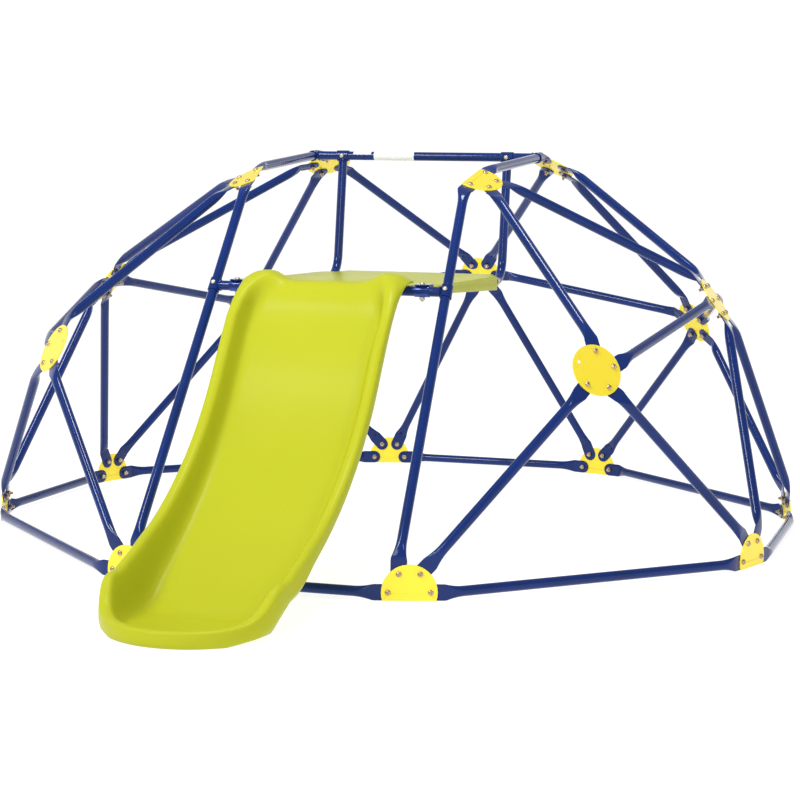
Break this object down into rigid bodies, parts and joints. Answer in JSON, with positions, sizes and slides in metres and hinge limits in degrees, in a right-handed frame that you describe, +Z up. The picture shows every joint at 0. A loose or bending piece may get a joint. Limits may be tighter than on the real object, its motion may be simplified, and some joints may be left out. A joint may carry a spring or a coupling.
{
  "type": "dome climber",
  "caption": "Low geometric climbing dome of bolted painted tubes and round connector plates, with a small deck inside and a plastic slide out of the front.",
  "frame": {"origin": "middle of the footprint at ground level", "axes": "+Z up, -Y the way the slide runs down, +X to the right of someone who stands at the slide's foot and looks at the dome"},
  "size_m": [2.175, 2.7771, 1.0402],
  "materials": {
    "blue_paint": "gloss",
    "yellow_paint": "gloss",
    "lime_plastic": "satin",
    "zinc": "satin"
  },
  "bodies": {
    "root": {"ground_tube_front": "blue_paint", "ground_tube_front_right": "blue_paint", "ground_tube_right": "blue_paint", "ground_tube_back_right": "blue_paint", "ground_tube_back": "blue_paint", "ground_tube_back_left": "blue_paint", "ground_tube_left": "blue_paint", "ground_tube_front_left": "blue_paint", "lower_tube_1": "blue_paint", "lower_tube_2": "blue_paint", "lower_tube_3": "blue_paint", "lower_tube_4": "blue_paint", "lower_tube_5": "blue_paint", "lower_tube_6": "blue_paint", "lower_tube_7": "blue_paint", "lower_tube_8": "blue_paint", "lower_tube_9": "blue_paint", "lower_tube_10": "blue_paint", "lower_tube_11": "blue_paint", "lower_tube_12": "blue_paint", "lower_tube_13": "blue_paint", "lower_tube_14": "blue_paint", "middle_tube_1": "blue_paint", "middle_tube_2": "blue_paint", "middle_tube_3": "blue_paint", "middle_tube_4": "blue_paint", "middle_tube_5": "blue_paint", "middle_tube_6": "blue_paint", "upper_tube_1": "blue_paint", "upper_tube_2": "blue_paint", "upper_tube_3": "blue_paint", "upper_tube_4": "blue_paint", "upper_tube_5": "blue_paint", "upper_tube_6": "blue_paint", "upper_tube_7": "blue_paint", "upper_tube_8": "blue_paint", "upper_tube_9": "blue_paint", "upper_tube_10": "blue_paint", "top_rail_right": "blue_paint", "top_rail_left": "blue_paint", "base_plates": "yellow_paint", "corner_plates": "yellow_paint", "side_plates": "yellow_paint", "top_front_plates": "yellow_paint", "top_back_plates": "yellow_paint", "leg_upper_left": "blue_paint", "leg_upper_right": "blue_paint", "leg_lower_left": "blue_paint", "leg_lower_right": "blue_paint", "crossbar_front": "blue_paint", "crossbar_back": "blue_paint", "handle_left": "blue_paint", "handle_right": "blue_paint", "rail_saddles": "blue_paint", "deck_clips": "zinc", "deck": "lime_plastic", "slide": "lime_plastic", "plate_bolts": "zinc", "plate_nuts": "zinc", "sleeve_bolts": "zinc"}
  },
  "joints": []
}
